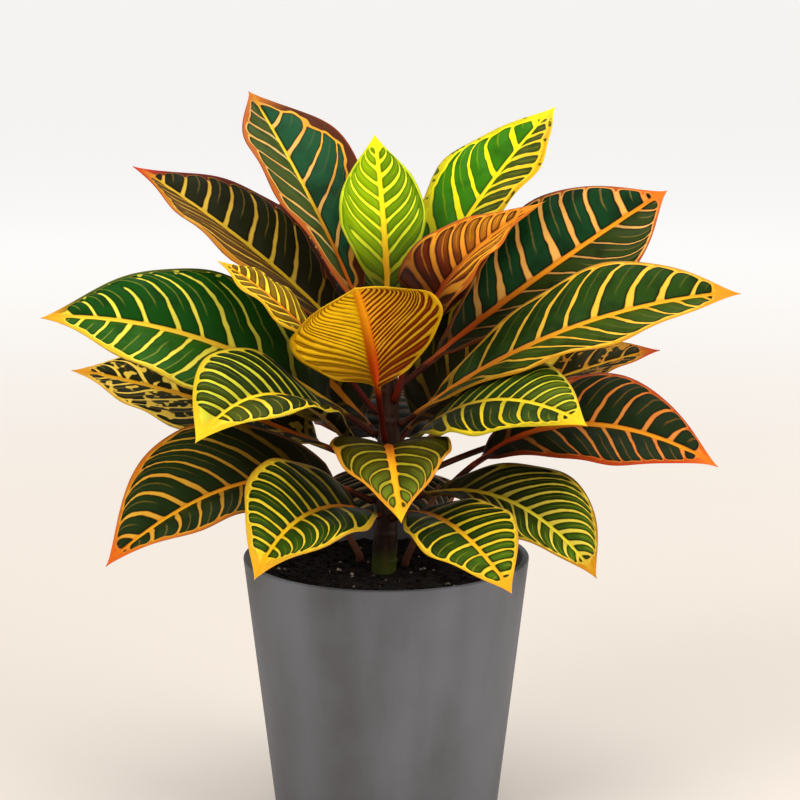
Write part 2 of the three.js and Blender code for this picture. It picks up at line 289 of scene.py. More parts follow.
def soil_height(x, y):
    """Height of the soil's surface, in metres: lumps and crumbs that die out towards the pot."""
    to_pot = inner_radius(SOIL_TOP) - math.hypot(x, y)
    rough = min(1, max(0, to_pot / EVEN_EDGE))
    broad, lump, crumb, grit = (
        height * noise.noise(Vector((x, y, layer)) * patches)
        for layer, (patches, height) in enumerate(SOIL_RELIEF)
    )
    return SOIL_TOP + (broad + lump + (abs(crumb) + grit)) * rough


deselect_all()
bpy.ops.mesh.primitive_grid_add(x_subdivisions=SOIL_GRID, y_subdivisions=SOIL_GRID, size=2)
soil = bpy.context.object
soil.name = "soil_bed"
reach = inner_radius(SOIL_TOP) - SOIL_GAP
for point in soil.data.vertices:
    x, y = point.co.x, point.co.y
    disc_x = reach * x * math.sqrt(1 - y * y / 2)
    disc_y = reach * y * math.sqrt(1 - x * x / 2)
    point.co = (disc_x, disc_y, soil_height(disc_x, disc_y))
edit(soil, "EDGE")
bpy.ops.mesh.select_non_manifold()
bpy.ops.mesh.extrude_region_move(TRANSFORM_OT_translate={"value": (0, 0, -SOIL_SKIRT)})
narrow = (inner_radius(SOIL_TOP - SOIL_SKIRT) - SOIL_GAP) / reach
bpy.ops.transform.resize(value=(narrow, narrow, 1), center_override=(0, 0, 0))
bpy.ops.mesh.edge_face_add()
bpy.ops.mesh.select_all(action="SELECT")
bpy.ops.mesh.normals_make_consistent(inside=False)
bpy.ops.object.mode_set(mode="OBJECT")
bpy.ops.object.shade_smooth()

material, tree, shader = finish_of("soil_mix", roughness=0.95, specular=0.2)
patches = ramp(tree, grain(tree, 160, detail=6, roughness=0.65), 0.35, 0.7)
flecks = ramp(tree, grain(tree, 520, detail=3), 0.62, 0.7)
brown = mix(tree, patches, colour("080403"), colour("1f120b"))
brown = mix(tree, maths(tree, "MULTIPLY", flecks, 0.5), brown, colour("5a3a26"))
tree.links.new(brown, shader.inputs["Base Color"])
roughen(tree, shader, grain(tree, 900, detail=5), 0.6, 0.0006)
soil.data.materials.append(material)
hand_over(soil, "soil")


def scattered(name, count, smallest, largest, flatness, seed):
    """Loose grains that lie on the soil: one rough pebble, turned, sized and copied into one mesh."""
    draw = random.Random(seed)
    deselect_all()
    bpy.ops.mesh.primitive_ico_sphere_add(subdivisions=2, radius=1)
    pebble = bpy.context.object
    template = np.array([point.co for point in pebble.data.vertices])
    corners = [list(face.vertices) for face in pebble.data.polygons]
    bpy.data.objects.remove(pebble)
    points = []
    faces = []
    for k in range(count):
        radius = reach * GRAIN_SPREAD * math.sqrt(draw.random())
        angle = draw.uniform(0, 2 * math.pi)
        x = radius * math.cos(angle)
        y = radius * math.sin(angle)
        if math.hypot(x, y) < ROOM_FOR_TRUNK:
            continue
        size = draw.uniform(smallest, largest)
        rough = [1 + GRAIN_DENTS * noise.noise(Vector(p) * 1.3 + Vector((k, 0, 0))) for p in template]
        sides = np.array([draw.uniform(0.7, 1.3), draw.uniform(0.7, 1.2), flatness])
        turned = template * np.array(rough)[:, None] * sides
        spin = draw.uniform(0, 2 * math.pi)
        across = turned[:, 0].copy()
        along = turned[:, 1].copy()
        turned[:, 0] = across * math.cos(spin) - along * math.sin(spin)
        turned[:, 1] = across * math.sin(spin) + along * math.cos(spin)
        middle = np.array([x, y, soil_height(x, y) + GRAIN_LIFT * size * flatness])
        faces += [[c + len(points) for c in face] for face in corners]
        points += list(turned * size + middle)
    mesh = bpy.data.meshes.new(name)
    mesh.from_pydata(points, [], faces)
    piece = bpy.data.objects.new(name, mesh)
    scene.collection.objects.link(piece)
    mesh.shade_smooth()
    return piece


crumbs = scattered("soil_crumbs", 700, 0.0007, 0.0022, flatness=0.75, seed=4)
crumbs.data.materials.append(material)
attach(crumbs, "root")

perlite = scattered("soil_perlite", 46, 0.0007, 0.0016, flatness=0.8, seed=11)
material, tree, shader = finish_of("perlite", roughness=0.9, specular=0.3)
dust = ramp(tree, grain(tree, 700, detail=3), 0.35, 0.7)
tree.links.new(mix(tree, dust, colour("6a5646"), colour("b9aa98")), shader.inputs["Base Color"])
perlite.data.materials.append(material)
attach(perlite, "root")

# Stem and shoots: one upright woody trunk with the scars of fallen leaves, and two thin shoots
# that come up beside it. Each is a sheet wrapped round into a closed skin that follows the
# stem's line, with a pointed bud on top. From here on sizes are in millimetres.
MM = 0.001
LEAN_START = 4.5
STEM_DEPTH = 20
WAIST_SHARE = 0.4
CROWN_FROM = 0.35
CROWN_SHARE = 0.6
LIP_SWELL = 0.09
LIP_HEIGHT = 1.4
DENT_SWELL = -0.05
DENT_ABOVE = 2.6
DENT_HEIGHT = 1.2
# Height of the lowest leaf scar, the step up to the next and how many there are.
TRUNK_SCARS = (166, 9.5, 17)
SHOOT_SCARS = (172, 11, 4)
SCAR_TURN = 2.4
SCAR_SPREAD = 0.3
UPRIGHTS = {
    "stem": dict(foot=(-1.5, 0), head=(0, -1), top=332, bud=12, sway=2.5, radii=(8.2, 7.8, 4.6)),
    "shoot_left": dict(foot=(-18, 26), head=(-43, 34), top=206, bud=6, sway=0, radii=(2.6, 2.4, 2.2)),
    "shoot_right": dict(foot=(13, 12), head=(33, 10), top=210, bud=6, sway=0, radii=(2.6, 2.4, 2.2)),
}
SOIL_MM = SOIL_TOP / MM


def smooth(x):
    """Soft step from 0 to 1."""
    c = np.clip(x, 0, 1)
    return c * c * (3 - 2 * c)


def stem_centre(upright, z):
    """Middle of a stem at a height, in millimetres. It stands plumb up to just over the soil."""
    free = SOIL_MM + LEAN_START
    h = np.maximum(0, (z - free) / (upright["top"] - free))
    foot, head = upright["foot"], upright["head"]
    x = foot[0] + (head[0] - foot[0]) * h + upright["sway"] * np.sin(2.6 * h)
    y = foot[1] + (head[1] - foot[1]) * h - upright["sway"] * np.sin(3 * h)
    return np.stack([x, y, z], -1)


def stem_radius(upright, z):
    """Radius of a stem at a height, in millimetres."""
    foot, waist, crown = upright["radii"]
    h = np.maximum(0, (z - SOIL_MM) / (upright["top"] - SOIL_MM))
    body = foot + (waist - foot) * smooth(h / WAIST_SHARE)
    return body + (crown - body) * smooth((h - CROWN_FROM) / CROWN_SHARE)


def sleeve(name, columns, rows, shape):
    """A flat sheet wrapped round into a closed skin. shape gives its points in millimetres, from
    how far round and how far along they are (0 to 1), and named values to keep on them."""
    deselect_all()
    bpy.ops.mesh.primitive_grid_add(x_subdivisions=columns, y_subdivisions=rows, size=1)
    piece = bpy.context.object
    piece.name = name
    flat = np.empty(3 * len(piece.data.vertices))
    piece.data.vertices.foreach_get("co", flat)
    flat = flat.reshape(-1, 3)
    points, values = shape(np.clip(flat[:, 0] + 0.5, 0, 1), np.clip(flat[:, 1] + 0.5, 0, 1))
    piece.data.vertices.foreach_set("co", (points * MM).ravel())
    for key, value in values.items():
        piece.data.attributes.new(key, "FLOAT", "POINT").data.foreach_set("value", value)
    edit(piece, "VERT")
    bpy.ops.mesh.select_all(action="SELECT")
    bpy.ops.mesh.remove_doubles(threshold=1e-6)
    bpy.ops.mesh.normals_make_consistent(inside=False)
    bpy.ops.object.mode_set(mode="OBJECT")
    bpy.ops.object.shade_smooth()
    return piece


def stem_shape(upright, scars, around, along):
    """Shape of a stem for sleeve: rings up its line, with a bud and a lip and dent at each scar."""
    bottom = SOIL_MM - STEM_DEPTH
    top = upright["top"] + upright["bud"]
    z = bottom + (top - bottom) * along
    angle = 2 * math.pi * around
    body = stem_radius(upright, np.minimum(z, upright["top"]))
    bud = np.clip((top - z) / upright["bud"], 0, 1) ** 0.6
    ridge = np.zeros_like(z)
    for height, side in scars:
        facing = np.clip(np.cos(angle - side), 0, 1) ** 2
        above = z - height
        ridge += LIP_SWELL * facing * np.exp(-((above / LIP_HEIGHT) ** 2))
        ridge += DENT_SWELL * facing * np.exp(-(((above - DENT_ABOVE) / DENT_HEIGHT) ** 2))
    bark = 0.018 * np.sin(7 * angle + 0.12 * z) + 0.014 * np.sin(11 * angle - 0.21 * z)
    radius = body * bud * (1 + ridge + bark)
    radius = np.where((along <= 0) | (along >= 1), 0, radius)
    centre = stem_centre(upright, z)
    centre[:, 0] += radius * np.cos(angle)
    centre[:, 1] += radius * np.sin(angle)
    return centre, {"height": z}


def stem_finish(name, low, middle, high, turn, fade):
    """Bark: one colour at the soil, one above it and one higher up, with fibres and spots. turn is
    the height of the first change and fade its softness, in millimetres."""
    material, tree, shader = finish_of(name, roughness=0.6, specular=0.15)
    height = node(tree, "Attribute", attribute_name="height").outputs["Fac"]
    unevenness = maths(tree, "MULTIPLY", grain(tree, 90, stretch=(1, 1, 0.3)), 18)
    height = maths(tree, "ADD", height, unevenness)
    bark = mix(tree, ramp(tree, height, turn - fade, turn + fade), colour(low), colour(middle))
    bark = mix(tree, ramp(tree, height, turn + 3 * fade, turn + 6 * fade), bark, colour(high))
    fibres = ramp(tree, grain(tree, 420, detail=4, stretch=(1, 1, 0.12)), 0.45, 0.75)
    bark = mix(tree, maths(tree, "MULTIPLY", fibres, 0.25), bark, colour("5a3420"))
    spots = ramp(tree, grain(tree, 500, detail=2, stretch=(1, 1, 0.6)), 0.66, 0.74)
    bark = mix(tree, maths(tree, "MULTIPLY", spots, 0.5), bark, colour("2a150e"))
    tree.links.new(bark, shader.inputs["Base Color"])
    roughen(tree, shader, fibres, 0.4, 0.0006)
    return material


scar_draw = random.Random(7)
first, step, count = TRUNK_SCARS
trunk_scars = []
for k in range(count):
    side = SCAR_TURN * k + scar_draw.uniform(-SCAR_SPREAD, SCAR_SPREAD)
    trunk_scars.append((first + step * k, side))
shape = partial(stem_shape, UPRIGHTS["stem"], trunk_scars)
trunk = sleeve("trunk", columns=48, rows=230, shape=shape)
bark = stem_finish("trunk_bark", "3c440c", "1e0c05", "260e04", turn=180, fade=9)
trunk.data.materials.append(bark)
hand_over(trunk, "stem")
first, step, count = SHOOT_SCARS
shoot_scars = [(first + step * k, SCAR_TURN * k) for k in range(count)]
for name in ("shoot_left", "shoot_right"):
    shape = partial(stem_shape, UPRIGHTS[name], shoot_scars)
    shoot = sleeve(name + "_bark", columns=24, rows=80, shape=shape)
    bark = stem_finish(name + "_finish", "5a2c1c", "7a4a34", "4a2410", turn=172, fade=10)
    shoot.data.materials.append(bark)
    hand_over(shoot, name)

# Leaves: thick leathery blades, each grown in one with its petiole. Colour stays green between
# the side veins and breaks to yellow, orange or red along veins, midrib and edge. Each leaf is
# a sheet wrapped round into a closed skin whose rows follow its side veins.
PETIOLE_RADIUS = 2.1
PETIOLE_GAP = 0.45
SHOOT_PETIOLE_GAP = 1.3
PETIOLE_SINK = 2.6
SINK_ROWS = 3
COLLAR = 0.4
COLLAR_ROWS = 5
PETIOLE_ROWS = 16
VEIN_ROWS = 12
LEAF_COLUMNS = 60
EVEN_COLUMNS = 0.45
# Blade: its thickness and relief in millimetres, and what is a share of its length or half width.
BLADE_THICKNESS = 0.7
FLAT_STATION = 0.1
OPEN_STATION = 0.12
USUAL_WIDEST = 0.55
BASE_FULLNESS = 0.72
TIP_SHARPENING = 0.5
KEEL = 2.6
KEEL_WIDTH = 2.0
RIDGE = 0.5
RIDGE_WIDTH = 1.6
RIB_SHARE = 0.08
QUILT = 0.7
QUILT_FROM_RIB = 0.2
QUILT_FROM_EDGE = 0.12
EDGE_DROOP = 12
USUAL_WAVE = 1.8
EDGE_WAVES = 3.4
LEFT_WAVE_START = 0.15
RIGHT_WAVE_START = 0.6
# Side veins: how far they lean towards the tip, and the gaps between them over the mean.
USUAL_SWEEP = 0.4
USUAL_LEAN_FROM = 0.3
VEIN_BEND = 1.12
VEIN_LEAN = 0.8
VEIN_HOOK = 0.35
STEEPEST_LEAN = 0.8
MOST_GROWTH = 0.8
USUAL_FIRST_STEP = 1.2
FIRST_AND_LAST_STEP = 1.9

# A leaf's markings: web colours, millimetres, and places along or across the blade from 0 to 1.
# panel is the green between two side veins and panel_dark its corners and mottling. It turns
# to panel_tip about panel_turn. vein, vein_out and vein_base colour a side vein at the midrib,
# near the edge and near the petiole, and reach is how far out it runs. band is the coloured
# zone inside the edge, rim its outermost line, and loop the width of the line of vein colour
# between band and panels. The panels end at tip_start. fine is the strength of a thin line half
# way between two veins, and finer draws more veins, or fewer, than the blade swells between.
# blotch spots the panels with vein colour, as far in as blotch_reach, and freckle spots the
# band. base_shade is painted shade: it darkens the blade from its petiole to shade_end, towards
# the shadowed middle of the plant.
USUAL_LOOK = dict(
    panel="1c3e06", panel_dark="061402", vein="f0c434", vein_out="e8cc3c", vein_base="5c4a10",
    band="c89c20", rim="d0a024", tip="e09820", rib_base="c87418", rib_tip="ecb824", petiole="341206",
    vein_width=2.2, rib_width=5.2, band_width=1.4, loop=0.8, reach=1.25, blotch=0, blotch_reach=9,
    freckle=0, base_shade=0.88, shade_end=0.6, panel_turn=0.72, finer=1, fine=0.16, tip_start=0.92,
)
LOOKS = {
    "green": dict(slot="leaf_green"),
    "dark": dict(
        slot="leaf_dark_green", panel="16300e", panel_dark="060e02", vein="e4b040", vein_out="dca84c",
        band="a04a18", rim="b04014", tip="c85818", rib_base="c05c14", rib_tip="e0a824",
    ),
    "lime": dict(
        slot="leaf_lime", panel="347400", panel_dark="1c4a00", vein="e8e410", vein_out="e4dc14",
        vein_base="b0a818", band="c8b810", rim="d8c014", tip="e8d418", rib_base="d89818",
        rib_tip="f0e418", petiole="5a3408",
    ),
    "olive": dict(
        slot="leaf_olive", panel="403c04", panel_dark="201c02", panel_tip="647418", vein="8e9420",
        vein_out="8a8c20", band="c88420", rim="d89020", tip="e8b018", rib_base="d87418", rib_tip="f0b01c",
        vein_width=1.7, rib_width=6.5, band_width=1.6, loop=0.2, reach=1.1,
    ),
    "gold": dict(
        slot="leaf_gold", vein_base="b87810", band="d09c14", rim="d8a418", tip="e0a818",
        rib_base="c85410", rib_tip="e8a018", petiole="420e04",
    ),
    "red": dict(
        slot="leaf_red_brown", panel="702404", panel_dark="300a02", panel_tip="b06c12", panel_turn=0.5,
        vein="ec9028", vein_out="eca028", vein_base="b85014", band="b85c14", rim="c06014", tip="d88018",
        rib_base="962d09", rib_tip="f0a028", petiole="5c1606", loop=0.9, fine=0.4,
    ),
}

# Each leaf, in millimetres: the height where it leaves its stem, the points half way along its
# midrib and at its tip, where along it the blade begins, the blade's width, and how far its
# left and right halves lift, in degrees, seen from the stem. on names the shoot that bears it,
# widest is where along the blade it is widest, and wave how far its edge waves. veins counts
# its side veins. sweep and left_sweep are how far they lean forward, fully so from lean_from
# on, and first_step is the first gap between them over the mean. own changes the look as a
# whole, and own_left and own_right that of one half.
LEAVES = {
    "leaf_top_left": dict(
        foot=296, middle=(-43, 45, 386), tip=(-94, 100, 469), blade=0.14, width=94, left=32, right=32,
        widest=0.64, sweep=0.45, left_sweep=0.18, veins=7, look="dark",
        own=dict(panel="1e4a2c", panel_dark="101a08", vein_base="a0601c", tip="b86820", tip_start=0.95,
            rib_tip="e4cc34", rib_width=4.2, loop=1.2, fine=0.05, base_shade=0.35),
        own_left=dict(panel="3a4a1c", vein="c8b070", vein_out="c8a050", band="a85a20", vein_width=2.8,
            band_width=4, finer=1.4),
        own_right=dict(vein="e0b060", vein_out="d8a030", band="4e2412", vein_width=3, band_width=8,
            loop=2.4),
    ),
    "leaf_top_middle": dict(
        foot=312, middle=(-1, 28, 375), tip=(-8, 60, 443), blade=0.2, width=58, left=12, right=12,
        veins=11, look="lime",
        own=dict(vein="e8ee28", vein_out="dce02c", band="bcc81c", rim="c8cc20", vein_width=2.4,
            rib_width=4.2, loop=0.3, reach=1),
        own_left=dict(panel="86a400", panel_dark="5c7c00"),
        own_right=dict(panel="668600", panel_dark="446400"),
    ),
    "leaf_top_right": dict(
        foot=304, middle=(54, 55, 387), tip=(116, 110, 458), blade=0.14, width=94, left=24, right=28,
        widest=0.58, sweep=0.05, left_sweep=0.45, veins=7, look="lime",
        own=dict(loop=2.2, freckle=0.9),
        own_left=dict(vein_width=4.6, band_width=6),
        own_right=dict(panel="3c4c00", panel_dark="1c2400", vein="e0d020", vein_out="e4c01c",
            band="d09c12", vein_width=3.6, band_width=3.4, finer=2),
    ),
    "leaf_right_upper": dict(
        foot=282, middle=(88, 30, 342), tip=(188, 60, 405), blade=0.12, width=96, left=62, right=-16,
        widest=0.64, sweep=0.35, left_sweep=0.15, veins=10, look="dark",
        own=dict(panel="103818", panel_dark="080e02", vein="e0a44c", vein_out="dca450", tip="d06a1c",
            tip_start=0.95, rib_base="a8440e", rib_tip="e09018", vein_width=3.6, band_width=1.6, loop=1),
        own_right=dict(panel="2a380c", vein="b89048", vein_width=1.7),
    ),
    "leaf_right_long": dict(
        foot=258, middle=(111, -25, 322), tip=(223, -45, 350), blade=0.05, width=84, left=60, right=-4,
        widest=0.59, sweep=0.26, left_sweep=0.2, veins=11, look="green",
        own=dict(panel="24400a", vein="e4b838", vein_out="ecb838", band="c88a1c", rim="d49420",
            tip="e0841a", rib_tip="e8a820", vein_width=2.8, rib_width=5.7, band_width=1.8, loop=1.2,
            fine=0.06, base_shade=0.5),
        own_right=dict(panel="344a08", vein="d8a428"),
    ),
    "leaf_right_behind": dict(
        foot=236, middle=(98, 63, 269), tip=(188, 84, 293), blade=0.06, width=64, left=40, right=16,
        widest=0.63, veins=10, look="dark",
        own=dict(panel="2a2808", panel_dark="141404", vein="c89028", vein_out="c89a2c", band="a07818",
            tip="b42c14", blotch=0.9, blotch_reach=60),
    ),
    "leaf_right_dark": dict(
        foot=209, middle=(118, 10, 254), tip=(218, 0, 229), blade=0.13, width=90, left=54, right=-9,
        on="shoot_right", widest=0.58, wave=0.8, sweep=0.17, left_sweep=0.22, veins=9, look="dark",
        own=dict(panel="1c2a10", panel_dark="0e1406", vein="d8883a", vein_out="d88430", band="b04012",
            rim="c03810", tip="d8681a", rib_base="b03c10", rib_tip="e8941c", vein_width=2.6, rib_width=6,
            band_width=2.4, loop=0.6),
    ),
    "leaf_left_upper": dict(
        foot=288, middle=(-77, 40, 358), tip=(-171, 75, 420), blade=0.14, width=84, left=17, right=48,
        sweep=0.22, left_sweep=0.7, veins=10, look="dark",
        own=dict(panel="22240e", panel_dark="140e08", vein="dcb840", vein_out="d0a838", tip="b82c18",
            rib_base="c8a020", rib_tip="d8b030", vein_width=2.8, rib_width=5),
        own_left=dict(panel="5a3c10", panel_dark="3a240c", vein="c8982c", band="b0701a", band_width=3),
        own_right=dict(band="5a1c10", rim="84241a", band_width=3, loop=0.2, reach=1.1),
    ),
    "leaf_left_gold": dict(
        foot=265, middle=(-56, -20, 329), tip=(-107, -18, 367), blade=0.2, width=62, left=2, right=30,
        sweep=0.25, veins=12, look="gold",
        own=dict(panel="80600a", panel_dark="4a3004", vein="fcd42c", vein_out="fcd834", rib_width=3.9,
            band_width=2.2, fine=0, blotch=0.5),
    ),
    "leaf_left_long": dict(
        foot=250, middle=(-111, -2, 311), tip=(-223, -8, 329), blade=0.1, width=104, left=-14, right=64,
        widest=0.48, sweep=0.3, left_sweep=0.15, veins=11, look="green",
        own=dict(vein="ecdc48", vein_out="e4d848", tip="d8901c", rib_base="d8a024", rib_tip="e8c030",
            vein_width=2.6, base_shade=0.9),
        own_left=dict(panel="24540c", panel_dark="103400", band="ccac24", band_width=2.8, loop=1),
        own_right=dict(panel="12440a", panel_dark="082404", band="34480e", rim="6c6a18", band_width=2.6,
            loop=0, reach=0.92, blotch=0.8),
    ),
    "leaf_left_behind": dict(
        foot=228, middle=(-116, 43, 262), tip=(-213, 54, 284), blade=0.14, width=82, left=-2, right=50,
        widest=0.47, veins=9, look="dark",
        own=dict(panel="26260a", panel_dark="101004", vein="ffd850", vein_out="f8d050", band="d0a030",
            rim="d8a838", tip="d88c20", vein_width=3, blotch=0.95, blotch_reach=95, base_shade=0.4),
    ),
    "leaf_front_left": dict(
        foot=222, middle=(-60, -61, 287), tip=(-114, -122, 270), blade=0.06, width=86, left=8, right=50,
        widest=0.6, sweep=0.2, veins=16, look="green",
        own=dict(panel_tip="3c4808", band="c8a81c", rim="d8b820", tip="e8bc20", tip_start=0.88,
            rib_base="a87018", rib_tip="e4c824", petiole="8a2c10", vein_width=2.1, rib_width=4.2,
            band_width=2.6),
        own_left=dict(panel="202c08", panel_tip="485010", vein="d4b424", vein_width=2.4, band_width=1.8,
            finer=0.62),
        own_right=dict(panel="162404", panel_dark="0c1402", vein="a0a028", vein_out="bcc434", loop=0.4),
    ),
    "leaf_left_low": dict(
        foot=206, middle=(-88, -20, 222), tip=(-177, -66, 179), blade=0.1, width=103, left=8, right=64,
        widest=0.57, left_sweep=0.2, veins=10, look="dark",
        own=dict(panel="203010", panel_dark="0c1a06", vein="e0a434", vein_out="d4a030",
            vein_base="6a4410", band="c06a14", rim="c86414", tip="cc5814", tip_start=0.94,
            rib_base="d04814", rib_tip="f0ac20", vein_width=2.8, rib_width=4.8, band_width=2.2,
            base_shade=0.9, shade_end=0.8),
    ),
    "leaf_front_left_low": dict(
        foot=198, middle=(-47, -72, 214), tip=(-78, -144, 191), blade=0.05, width=86, left=8, right=62,
        widest=0.5, sweep=0.16, left_sweep=0.42, veins=15, look="green",
        own=dict(panel="203406", panel_dark="0a1402", panel_tip="34520c", vein="e0c428",
            vein_out="dcc430", rim="d49c1c", tip="e0981c", tip_start=0.88, rib_base="c06c14",
            rib_tip="e8c01c", vein_width=2.1, rib_width=4.4, band_width=2.4),
        own_left=dict(finer=0.7),
    ),
    "leaf_centre_gold": dict(
        foot=247, middle=(-9, -53, 319), tip=(-18, -115, 363), blade=0.25, width=98, left=35, right=-5,
        widest=0.46, wave=1, sweep=0.55, left_sweep=0.6, lean_from=0.25, first_step=0.5, veins=24,
        look="gold",
        own=dict(rib_base="c4440c", rib_tip="f49c14", rib_width=5.7, loop=0.2, reach=1.4, base_shade=0.2,
            same_below=True),
        own_left=dict(panel="8a3006", panel_dark="5a1a02", vein="f0a024", vein_out="dca41c",
            vein_width=1.9),
        own_right=dict(panel="c08a08", panel_dark="8a5c04", vein="ffc814", vein_out="ffc418",
            vein_width=2.9),
    ),
    "leaf_centre_red": dict(
        foot=272, middle=(35, -15, 348), tip=(101, 0, 403), blade=0.37, width=66, left=80, right=5,
        widest=0.26, sweep=0.9, left_sweep=0.3, veins=10, look="red",
        own_left=dict(vein_width=2.6),
        own_right=dict(vein_width=2.8, finer=1.5),
    ),
    "leaf_front_right": dict(
        foot=240, middle=(60, -50, 282), tip=(123, -105, 277), blade=0.06, width=84, left=38, right=-10,
        sweep=0.3, left_sweep=0.22, veins=15, look="green",
        own=dict(panel_tip="56640c", band="d0a81c", rim="dcb41c", tip="ecbc14", rib_base="9a7018",
            rib_tip="dcc424", rib_width=4.4, band_width=2),
        own_left=dict(panel="1e3a0a", panel_dark="0c1802", vein="b4b030", vein_out="c8cc34",
            vein_width=1.8),
        own_right=dict(panel="1e2c08", panel_dark="0e1404", panel_tip="344c0c", vein="b8ac20",
            vein_out="d4b81c", band="ac9818", rim="b4a01c", vein_width=2.6, loop=1.2, finer=0.6),
    ),
    "leaf_front_right_low": dict(
        foot=196, middle=(37, -72, 209), tip=(77, -128, 178), blade=0.18, width=68, left=34, right=10,
        sweep=0.15, veins=13, look="green",
        own=dict(panel="203406", panel_dark="0a1402", panel_tip="4a6a10", vein="d4bc2c",
            vein_out="dcc02c", rim="d8a41c", tip="e8981c", rib_tip="e4b41c", vein_width=1.9,
            rib_width=4.2),
        own_right=dict(finer=0.65),
    ),
    "leaf_right_low": dict(
        foot=206, middle=(75, -16, 210), tip=(134, -62, 170), blade=0.12, width=75, left=54, right=4,
        widest=0.6, veins=14, look="green",
        own=dict(panel="28360a", panel_dark="0e1602", panel_tip="4a6a10", vein="dcc848",
            vein_out="ecd848", band="b08414", rim="a86e14", tip="c47c18", rib_base="a88018",
            rib_tip="e8d838", vein_width=2.3, rib_width=4.2, shade_end=0.75),
        own_right=dict(finer=0.8),
    ),
    "leaf_front_middle": dict(
        foot=240, middle=(3, -65, 251), tip=(10, -120, 220), blade=0.2, width=78, left=25, right=25,
        widest=0.4, veins=9, look="olive",
    ),
    "leaf_back_middle": dict(
        foot=262, middle=(4, 62, 345), tip=(8, 140, 392), blade=0.25, width=70, left=14, right=14,
        veins=11, look="green",
    ),
    "leaf_back_low": dict(
        foot=216, middle=(0, 60, 208), tip=(-4, 126, 140), blade=0.08, width=96, left=8, right=8,
        widest=0.6, veins=13, look="dark",
    ),
    "leaf_back_centre": dict(
        foot=232, middle=(-4, 74, 262), tip=(-10, 150, 258), blade=0.1, width=100, left=-10, right=-10,
        widest=0.5, veins=12, look="dark",
        # Its panels are painted near black and its veins dim: painted shade, for where it hangs in the
        # shadow behind the trunk.
        own=dict(panel="16200a", vein="7a5a20", vein_out="6e5420", base_shade=0.95),
    ),
    "leaf_back_left_high": dict(
        foot=280, middle=(-48, 78, 352), tip=(-70, 165, 388), blade=0.25, width=72, left=16, right=16,
        veins=11, look="green",
    ),
    "leaf_back_right_high": dict(
        foot=274, middle=(44, 74, 345), tip=(90, 160, 376), blade=0.25, width=72, left=16, right=16,
        veins=11, look="dark",
    ),
    "leaf_back_left": dict(
        foot=248, middle=(-80, 72, 312), tip=(-142, 128, 326), blade=0.04, width=80, left=-34, right=50,
        widest=0.38, veins=14, look="green",
    ),
    "leaf_back_right": dict(
        foot=246, middle=(86, 68, 314), tip=(160, 128, 342), blade=0.04, width=80, left=50, right=-40,
        widest=0.38, veins=14, look="green",
        # Its panels are painted dark and its veins dim: painted shade, for where it lies in the shadow at
        # the back of the plant.
        own=dict(panel="2a2c0c", panel_dark="141004", vein="8a641c", vein_base="8a5a18"),
    ),
    "leaf_back_left_low": dict(
        foot=203, middle=(-88, 60, 236), tip=(-148, 100, 216), blade=0.2, width=72, left=4, right=12,
        on="shoot_left", veins=11, look="dark",
    ),
    "leaf_back_right_low": dict(
        foot=216, middle=(100, 62, 238), tip=(172, 108, 226), blade=0.42, width=72, left=8, right=4,
        veins=9, look="dark",
    ),
}


def outline(s, widest=USUAL_WIDEST):
    """Half width of a blade over its greatest, from its base (0) to its tip (1)."""
    bulge = np.sin(math.pi * np.clip(s, 0, 1) ** (math.log(0.5) / math.log(widest)))
    return np.clip(bulge, 0, 1) ** (BASE_FULLNESS + TIP_SHARPENING * s)


def midrib(leaf):
    """The three points that draw a leaf's midrib, and the way from its petiole into the stem."""
    carrier = UPRIGHTS[leaf.get("on", "stem")]
    gap = SHOOT_PETIOLE_GAP if "on" in leaf else PETIOLE_GAP
    foot = stem_centre(carrier, np.array(float(leaf["foot"])))
    tip = np.array(leaf["tip"], float)
    bend = 2 * np.array(leaf["middle"], float) - foot / 2 - tip / 2
    out = bend - foot
    level = np.array([out[0], out[1], 0]) / math.hypot(out[0], out[1])
    rise = abs(math.atan2(out[2], math.hypot(out[0], out[1])))
    clear = stem_radius(carrier, leaf["foot"]) + gap + PETIOLE_RADIUS * math.sin(rise)
    return foot + level * clear, bend, tip, -level


def unit(v):
    """The direction of a vector, or of each of many."""
    return v / np.linalg.norm(v, axis=-1, keepdims=True)


def vein_starts(count, first_step, seed):
    """Where the side veins leave the midrib, from 0 to 1. The gaps shrink or grow evenly from
    first_step, over the mean, and each is then drawn a little shorter or longer."""
    draw = random.Random(seed)
    change = FIRST_AND_LAST_STEP - 2 * first_step
    steps = [draw.uniform(0.8, 1.2) * (first_step + change * k / count) for k in range(count)]
    return np.concatenate(([0], np.cumsum(steps) / sum(steps)))


